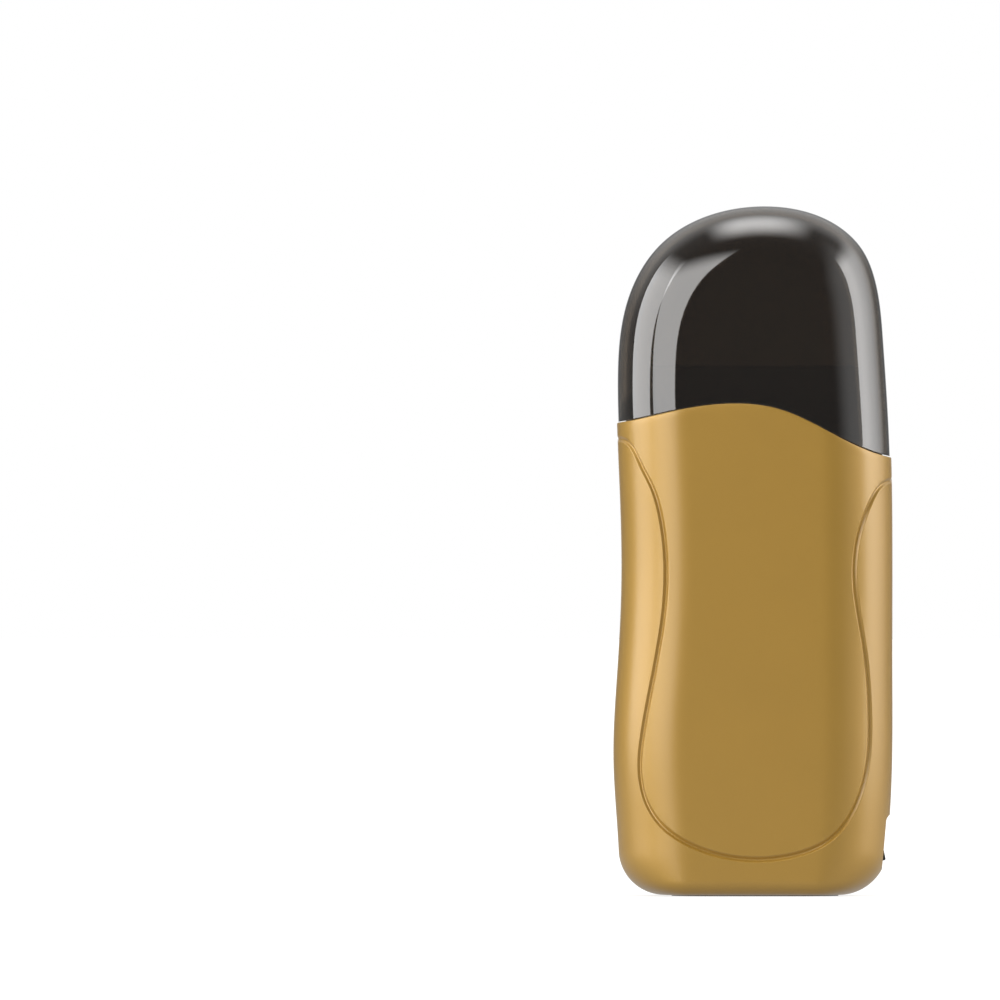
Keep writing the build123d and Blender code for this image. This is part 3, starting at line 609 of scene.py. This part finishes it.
def screwHoles(part):
    form, seam = screwForm, caseForm["seamY"]
    outY = caseForm["halfDepth"] + form["overBack"]
    if part == "front":
        spans = [(seam - form["length"], seam + form["overSeam"], form["pilotRadius"], form["sides"])]
    else:
        spans = [(seam - form["overSeam"], outY, form["shankRadius"], form["sides"]),
                 (seam + form["shoulder"], outY, form["headRadius"], form["headSides"])]
    return [rodBetween((x, start, z), (x, end, z), radius, sides)
            for x, z in screwPlaces() for start, end, radius, sides in spans]


def frontShell():
    form = padForm
    bm = carve(shellBody("front"), bosses("front"), "UNION")
    cutters = [grooveCutter(), slotBlock(*form["size"], -form["under"], form["depth"]), landCutter()]
    return carve(bm, cutters + switchCutters() + screwHoles("front"))


def rearShell():
    bm = carve(shellBody("rear"), bosses("rear"), "UNION")
    return carve(bm, [landCutter()] + inletCutters() + screwHoles("rear"))


def newGroup(name, inputs, outputs):
    group = bpy.data.node_groups.new(name, "ShaderNodeTree")
    for label, kind, value in inputs:
        socket = group.interface.new_socket(label, in_out="INPUT", socket_type=kind)
        if value is not None:
            socket.default_value = value
    for label, kind in outputs:
        group.interface.new_socket(label, in_out="OUTPUT", socket_type=kind)
    return group, group.nodes.new("NodeGroupInput"), group.nodes.new("NodeGroupOutput")


def addNode(tree, kind, inputs=None, **settings):
    node = tree.nodes.new(kind)
    for key, value in settings.items():
        setattr(node, key, value)
    for key, value in (inputs or {}).items():
        if isinstance(value, bpy.types.NodeSocket):
            tree.links.new(value, node.inputs[key])
        else:
            node.inputs[key].default_value = value
    return node


def combined(tree, operation, first, second):
    return addNode(tree, "ShaderNodeMath", {0: first, 1: second}, operation=operation).outputs[0]


def ramp(tree, value, start, end, low=0.0, high=1.0):
    node = addNode(tree, "ShaderNodeMapRange", {"Value": value, "From Min": start, "From Max": end,
                   "To Min": low, "To Max": high}, interpolation_type="SMOOTHSTEP")
    return node.outputs[0]


def makeGrainGroup():
    # Fine grain and a slow mottling, both 0 to 1.
    group, inside, outside = newGroup(
        "fineGrain",
        [("Vector", "NodeSocketVector", None), ("Grain Scale", "NodeSocketFloat", 4000.0),
         ("Mottle Scale", "NodeSocketFloat", 60.0)],
        [("Grain", "NodeSocketFloat"), ("Mottle", "NodeSocketFloat")])
    fine = addNode(group, "ShaderNodeTexNoise", {"Vector": inside.outputs["Vector"],
                   "Scale": inside.outputs["Grain Scale"], "Detail": 2.0, "Roughness": 0.6})
    slow = addNode(group, "ShaderNodeTexNoise", {"Vector": inside.outputs["Vector"],
                   "Scale": inside.outputs["Mottle Scale"], "Detail": 3.0, "Roughness": 0.5})
    group.links.new(fine.outputs["Fac"], outside.inputs["Grain"])
    group.links.new(slow.outputs["Fac"], outside.inputs["Mottle"])
    return group


def makeHairlineGroup():
    # Hairlines drawn out along one axis, 0 to 1.
    group, inside, outside = newGroup(
        "hairlines",
        [("Vector", "NodeSocketVector", None), ("Stretch", "NodeSocketVector", (40.0, 4000.0, 4000.0))],
        [("Lines", "NodeSocketFloat")])
    stretched = addNode(group, "ShaderNodeVectorMath", {0: inside.outputs["Vector"],
                        1: inside.outputs["Stretch"]}, operation="MULTIPLY")
    noise = addNode(group, "ShaderNodeTexNoise", {"Vector": stretched.outputs["Vector"], "Scale": 1.0,
                    "Detail": 3.0, "Roughness": 0.7})
    group.links.new(noise.outputs["Fac"], outside.inputs["Lines"])
    return group


grainGroup = makeGrainGroup()
hairlineGroup = makeHairlineGroup()


finishDefaults = {
    "metallic": 0.0, "roughness": 0.4, "roughSpread": 0.04, "shade": 0.06, "grainScale": 3000.0,
    "grainDepth": 0.01, "mottleScale": 60.0, "hairlines": None, "coat": 0.0, "coatRoughness": 0.1,
    "coatIor": 1.5, "ior": 1.5, "transmission": 0.0, "specular": 0.5,
}


def makeFinish(name, colour, **changes):
    # Principled surface with a fine grain in its bump and roughness and a slow change of shade.
    form = {**finishDefaults, **changes}
    material = bpy.data.materials.new(name)
    material.use_nodes = True
    tree = material.node_tree
    shader = tree.nodes["Principled BSDF"]
    place = addNode(tree, "ShaderNodeTexCoord")
    grain = addNode(tree, "ShaderNodeGroup", node_tree=grainGroup)
    tree.links.new(place.outputs["Object"], grain.inputs["Vector"])
    grain.inputs["Grain Scale"].default_value = form["grainScale"]
    grain.inputs["Mottle Scale"].default_value = form["mottleScale"]
    fine = grain.outputs["Grain"]
    if form["hairlines"]:
        lines = addNode(tree, "ShaderNodeGroup", node_tree=hairlineGroup)
        tree.links.new(place.outputs["Object"], lines.inputs["Vector"])
        lines.inputs["Stretch"].default_value = form["hairlines"]
        fine = lines.outputs["Lines"]
    dark = [c * (1 - form["shade"]) for c in colour] + [1]
    light = [min(1, c * (1 + form["shade"])) for c in colour] + [1]
    tint = addNode(tree, "ShaderNodeMix", {0: grain.outputs["Mottle"], 6: dark, 7: light}, data_type="RGBA")
    tree.links.new(tint.outputs[2], shader.inputs["Base Color"])
    # the noise stays mostly within 0.25 and 0.75
    rough = addNode(tree, "ShaderNodeMapRange", {"Value": fine, "From Min": 0.25, "From Max": 0.75,
                    "To Min": form["roughness"] - form["roughSpread"],
                    "To Max": form["roughness"] + form["roughSpread"]})
    tree.links.new(rough.outputs["Result"], shader.inputs["Roughness"])
    bump = addNode(tree, "ShaderNodeBump", {"Height": fine, "Strength": 1.0,
                   "Distance": form["grainDepth"] * millimetre})
    tree.links.new(bump.outputs["Normal"], shader.inputs["Normal"])
    shader.inputs["Metallic"].default_value = form["metallic"]
    shader.inputs["IOR"].default_value = form["ior"]
    shader.inputs["Specular IOR Level"].default_value = form["specular"]
    shader.inputs["Transmission Weight"].default_value = form["transmission"]
    shader.inputs["Coat Weight"].default_value = form["coat"]
    shader.inputs["Coat Roughness"].default_value = form["coatRoughness"]
    shader.inputs["Coat IOR"].default_value = form["coatIor"]
    return material


def goldPaint():
    return makeFinish("goldPaint", (0.465, 0.263, 0.029), metallic=0.55, roughness=0.54, roughSpread=0.05,
                      shade=0.035, grainScale=5200.0, grainDepth=0.006, mottleScale=45.0, coat=1.0,
                      coatRoughness=0.3, coatIor=1.66)


def smokedPlastic():
    return makeFinish("smokedPlastic", (0.084, 0.065, 0.047), roughness=0.03, roughSpread=0.01, shade=0.03,
                      grainScale=900.0, grainDepth=0.0004, transmission=1.0, ior=1.49, coat=1.0,
                      coatRoughness=0.02, coatIor=1.7)


def feltMaterial():
    # woven glass sheet: two crossed sets of ribs
    material = makeFinish("glassFelt", (0.80, 0.77, 0.70), roughness=0.85, grainScale=2500.0, grainDepth=0.05)
    tree = material.node_tree
    shader = tree.nodes["Principled BSDF"]
    place = addNode(tree, "ShaderNodeTexCoord")
    ribs = []
    for direction in ("Z", "DIAGONAL"):
        ribs.append(addNode(tree, "ShaderNodeTexWave", {"Vector": place.outputs["Object"], "Scale": 260.0,
                            "Distortion": 1.5, "Detail": 1.0}, bands_direction=direction))
    weave = combined(tree, "MAXIMUM", ribs[0].outputs["Fac"], ribs[1].outputs["Fac"])
    bump = addNode(tree, "ShaderNodeBump", {"Height": weave, "Strength": 1.0,
                   "Distance": 0.15 * millimetre})
    tree.links.new(bump.outputs["Normal"], shader.inputs["Normal"])
    return material


materials = {
    "gold_paint": goldPaint(),
    "smoked_clear": smokedPlastic(),
    "brown_plastic": makeFinish("brownPlastic", (0.11, 0.034, 0.024), roughness=0.5, grainScale=2200.0,
                                grainDepth=0.02, shade=0.1),
    "grey_plastic": makeFinish("greyPlastic", (0.13, 0.13, 0.135), roughness=0.55, grainScale=2200.0,
                               grainDepth=0.02, shade=0.08),
    "cup_metal": makeFinish("castCup", (0.72, 0.72, 0.74), metallic=1.0, roughness=0.38, roughSpread=0.08,
                            grainScale=1400.0, grainDepth=0.02, shade=0.08),
    "glass_felt": feltMaterial(),
    "ceramic": makeFinish("heatingCeramic", (0.22, 0.2, 0.18), roughness=0.7, grainScale=1800.0,
                          grainDepth=0.02, shade=0.15),
    "electrode_metal": makeFinish("electrodeSheet", (0.74, 0.74, 0.76), metallic=1.0, roughness=0.28,
                                  hairlines=(4000.0, 4000.0, 60.0), grainDepth=0.004),
    "amber_film": makeFinish("amberFilm", (0.62, 0.27, 0.03), roughness=0.22, shade=0.1, coat=0.5,
                             mottleScale=150.0),
    "spring_steel": makeFinish("springSteel", (0.56, 0.56, 0.57), metallic=1.0, roughness=0.3,
                               hairlines=(4000.0, 4000.0, 80.0), grainDepth=0.004),
    "screw_steel": makeFinish("screwSteel", (0.68, 0.68, 0.66), metallic=1.0, roughness=0.26, shade=0.12,
                              grainScale=2500.0, grainDepth=0.006, mottleScale=500.0),
    "sensor_case": makeFinish("sensorCase", (0.66, 0.66, 0.68), metallic=1.0, roughness=0.34, shade=0.08,
                              hairlines=(60.0, 4000.0, 4000.0), grainDepth=0.004),
    "fuse_case": makeFinish("fuseCase", (0.66, 0.53, 0.31), metallic=1.0, roughness=0.3, shade=0.1,
                            hairlines=(4000.0, 60.0, 4000.0), grainDepth=0.004),
    "black_plastic": makeFinish("blackPlastic", (0.018, 0.018, 0.019), roughness=0.46, grainScale=2400.0,
                                grainDepth=0.02, shade=0.15),
    "black_gloss": makeFinish("blackGloss", (0.010, 0.010, 0.011), roughness=0.16, roughSpread=0.03,
                              grainScale=1500.0, grainDepth=0.001, shade=0.15, coat=0.3),
    "contact_brass": makeFinish("contactBrass", (0.74, 0.53, 0.24), metallic=1.0, roughness=0.3,
                                hairlines=(60.0, 4000.0, 4000.0), grainDepth=0.004, shade=0.1),
    "pin_plate": makeFinish("pinPlate", (0.72, 0.71, 0.68), metallic=1.0, roughness=0.18, shade=0.06,
                            hairlines=(4000.0, 60.0, 4000.0), grainDepth=0.002),
    "white_silicone": makeFinish("whiteSilicone", (0.72, 0.71, 0.67), roughness=0.5, grainScale=1200.0,
                                 grainDepth=0.01, shade=0.05),
    "black_rubber": makeFinish("blackRubber", (0.022, 0.022, 0.022), roughness=0.78, grainScale=1600.0,
                               grainDepth=0.04, shade=0.2),
}
slotOf = {part["node"]: part["material_slot"] for part in frame["record"]["subparts"]}
for name, node in nodes.items():
    node.data.materials.clear()
    node.data.materials.append(materials[slotOf[name]])
print("materials ready", len(materials))


finishPiece("caseFront", frontShell(), "case", "gold_paint", ["front_shell"])
finishPiece("caseRear", rearShell(), "case", "gold_paint", ["rear_shell"])
finishPiece("smokedCover", coverBody(), "cover", "smoked_clear", ["dome_cover"])


# The floor's level in reflections next to the object is set low, a painted shadow round its foot.
stageForm = {"floorSize": 40.0, "floorColour": 0.3, "nearGlow": 0.8, "nearGlossPaintedShadow": 0.5, "farGlow": 1.0,
             "near": 0.08, "far": 1.2, "worldLeft": 0.2, "worldRight": 1.12,
             "roomGlow": 0.09, "sideGlow": 0.17, "rightGlow": 0.5, "ceilingGlow": 0.42,
             # where each part of the room begins and is full, by how far right, behind or up a ray goes
             "sideSpan": (-0.8, 0.1), "rightSpan": (0.42, 0.85), "frontSpan": (0.2, -0.2),
             "wallSpan": (0.95, 0.995), "ceilingSpan": (0.1, 0.6), "ceilingBehind": (0.0, 0.5)}


def roomLevel(tree, right, behind):
    # Brightness of the room in reflections: paler at the sides and behind, and to the front right.
    form = stageForm
    room = ramp(tree, behind, *form["sideSpan"], form["roomGlow"], form["sideGlow"])
    fill = combined(tree, "MULTIPLY", ramp(tree, right, *form["rightSpan"], 0.0, form["rightGlow"]),
                    ramp(tree, behind, *form["frontSpan"]))
    return combined(tree, "ADD", room, fill)


def withWall(tree, room, behind):
    # The same with a white wall far behind the object.
    return ramp(tree, behind, *stageForm["wallSpan"], room, 1.0)


def floorMaterial():
    # White to the camera and through the cover, with the object's shadow kept. In reflections it shows only
    # its glow. That glow is dimmed near the object as a painted shadow round its foot, and its far part
    # passes into the room and the wall.
    form = stageForm
    material = bpy.data.materials.new("paleFloor")
    material.use_nodes = True
    tree = material.node_tree
    tree.nodes.remove(tree.nodes["Principled BSDF"])
    tone = form["floorColour"]
    matte = addNode(tree, "ShaderNodeBsdfDiffuse", {"Color": (tone, tone, tone, 1)})
    place = addNode(tree, "ShaderNodeTexCoord")
    away = addNode(tree, "ShaderNodeVectorMath", {0: place.outputs["Object"]}, operation="LENGTH")
    course = addNode(tree, "ShaderNodeVectorMath", {0: place.outputs["Object"]}, operation="NORMALIZE")
    course = addNode(tree, "ShaderNodeSeparateXYZ", {0: course.outputs["Vector"]})
    room = roomLevel(tree, course.outputs["X"], course.outputs["Y"])
    wall = withWall(tree, room, course.outputs["Y"])
    path = addNode(tree, "ShaderNodeLightPath")
    plain = ramp(tree, away.outputs["Value"], form["near"], form["far"], form["nearGlow"], form["farGlow"])
    # painted shadow: in reflections the floor's glow is darker near the object, standing in for its shadow
    # there
    glossWithPaintedShadow = ramp(tree, away.outputs["Value"], form["near"], form["far"], form["nearGlossPaintedShadow"], wall)
    glow = addNode(tree, "ShaderNodeMix", {0: path.outputs["Is Glossy Ray"], 2: plain, 3: glossWithPaintedShadow})
    light = addNode(tree, "ShaderNodeEmission", {"Color": (1, 1, 1, 1), "Strength": glow.outputs[0]})
    both = addNode(tree, "ShaderNodeAddShader", {0: matte.outputs[0], 1: light.outputs[0]})
    seen = combined(tree, "MAXIMUM", path.outputs["Is Camera Ray"], path.outputs["Is Glossy Ray"])
    seen = combined(tree, "MAXIMUM", seen, path.outputs["Is Transmission Ray"])
    look = addNode(tree, "ShaderNodeMixShader", {0: path.outputs["Is Glossy Ray"], 1: both.outputs[0],
                   2: light.outputs[0]})
    mix = addNode(tree, "ShaderNodeMixShader", {0: seen, 1: matte.outputs[0], 2: look.outputs[0]})
    tree.links.new(mix.outputs[0], tree.nodes["Material Output"].inputs["Surface"])
    return material


def makeStage():
    form = stageForm
    bm = bmesh.new()
    bmesh.ops.create_grid(bm, x_segments=1, y_segments=1, size=form["floorSize"] / 2)
    mesh = bpy.data.meshes.new("floor")
    bm.to_mesh(mesh)
    bm.free()
    floor = bpy.data.objects.new("floor", mesh)
    bpy.context.scene.collection.objects.link(floor)
    floor.data.materials.append(floorMaterial())


def makeWorld():
    # Light for matte surfaces, much stronger from the right than from the left. In reflections a dim
    # room, paler above and behind the object, with a white wall far behind it.
    form = stageForm
    world = bpy.data.worlds.new("studio")
    world.use_nodes = True
    tree = world.node_tree
    backdrop = tree.nodes["Background"]
    place = addNode(tree, "ShaderNodeTexCoord")
    split = addNode(tree, "ShaderNodeSeparateXYZ", {0: place.outputs["Generated"]})
    right, behind, up = (split.outputs[axis] for axis in "XYZ")
    ceiling = combined(tree, "MULTIPLY", ramp(tree, up, *form["ceilingSpan"], 0.0, form["ceilingGlow"]),
                       ramp(tree, behind, *form["ceilingBehind"]))
    room = combined(tree, "ADD", roomLevel(tree, right, behind), ceiling)
    path = addNode(tree, "ShaderNodeLightPath")
    glossy = addNode(tree, "ShaderNodeMix", {0: path.outputs["Is Glossy Ray"],
                     2: ramp(tree, right, -1.0, 1.0, form["worldLeft"], form["worldRight"]),
                     3: withWall(tree, room, behind)})
    seen = combined(tree, "MAXIMUM", path.outputs["Is Camera Ray"], path.outputs["Is Transmission Ray"])
    level = addNode(tree, "ShaderNodeMix", {0: seen, 2: glossy.outputs[0], 3: 1.0})
    tree.links.new(level.outputs[0], backdrop.inputs["Strength"])
    backdrop.inputs["Color"].default_value = (1, 1, 1, 1)
    bpy.context.scene.world = world


# "at" holds the azimuth from the camera's side towards +X, the elevation and the distance in metres, and
# "size" the width and height in metres. "fade" says over which share of the width or height the light
# grows to full from its left, right, lower and upper edge.
softboxes = {
    "leftInner": {"at": (-37.2, 22, 1.1), "size": (0.853, 1.25), "radiance": 2.95,
                  "fade": (0.04, 0.04, 0.1, 0.35)},
    "leftOuter": {"at": (-81.2, 22, 1.1), "size": (0.836, 1.25), "radiance": 3.25,
                  "fade": (0.04, 0.04, 0.1, 0.35)},
    "right": {"at": (104, 22, 1.1), "size": (1.4, 1.25), "radiance": 3.2, "fade": (0.04, 0.85, 0.1, 0.35)},
    "top": {"at": (180, 88, 1.2), "size": (1.02, 1.3), "radiance": 3.5, "fade": (0.5, 0.34, 0.5, 0.5)},
}
lampTarget = (0, 0, 0.1)


def softEdges(lamp, fade):
    # Lets the light fade towards the left, right, lower and upper edge of its face.
    lamp.use_nodes = True
    tree = lamp.node_tree
    light = tree.nodes["Emission"]
    face = addNode(tree, "ShaderNodeNewGeometry")
    split = addNode(tree, "ShaderNodeSeparateXYZ", {0: face.outputs["Parametric"]})
    shares = []
    for axis, start, end in (("X", fade[0], fade[1]), ("Y", fade[2], fade[3])):
        rise = ramp(tree, split.outputs[axis], 0.0, start)
        fall = ramp(tree, split.outputs[axis], 1.0, 1.0 - end)
        shares.append(combined(tree, "MULTIPLY", rise, fall))
    tree.links.new(combined(tree, "MULTIPLY", *shares), light.inputs["Strength"])


def makeLights():
    for name, form in softboxes.items():
        azimuth, elevation, distance = form["at"]
        lamp = bpy.data.lights.new(name, "AREA")
        lamp.shape = "RECTANGLE"
        lamp.size, lamp.size_y = form["size"]
        lamp.energy = form["radiance"] * math.pi * lamp.size * lamp.size_y
        softEdges(lamp, form["fade"])
        lampObject = bpy.data.objects.new(name, lamp)
        a, e = math.radians(azimuth), math.radians(elevation)
        offset = Vector((math.sin(a) * math.cos(e), -math.cos(a) * math.cos(e), math.sin(e))) * distance
        lampObject.location = Vector(lampTarget) + offset
        lampObject.rotation_euler = (-offset).to_track_quat("-Z", "Y").to_euler()
        bpy.context.scene.collection.objects.link(lampObject)


# frameWidth is what the picture's width spans at the object, in metres. shareX and shareY are the place in
# the picture of the object's middle at centreZ, from the left and from the top.
cameraForm = {"lens": 900.0, "sensor": 36.0, "frameWidth": 0.2757, "centreZ": 0.095,
              "shareX": 0.755, "shareY": 0.55105}


def makeCamera():
    form = cameraForm
    camera = bpy.data.cameras.new("camera")
    camera.lens, camera.sensor_width = form["lens"], form["sensor"]
    camera.shift_x = 0.5 - form["shareX"]
    camera.shift_y = form["shareY"] - 0.5
    holder = bpy.data.objects.new("camera", camera)
    distance = form["frameWidth"] * form["lens"] / form["sensor"]
    holder.location = (0, -distance, form["centreZ"])
    holder.rotation_euler = (math.pi / 2, 0, 0)
    bpy.context.scene.collection.objects.link(holder)
    bpy.context.scene.camera = holder
    bpy.context.scene.view_settings.view_transform = "Standard"


makeStage()
makeWorld()
makeLights()
makeCamera()
print("stage ready")
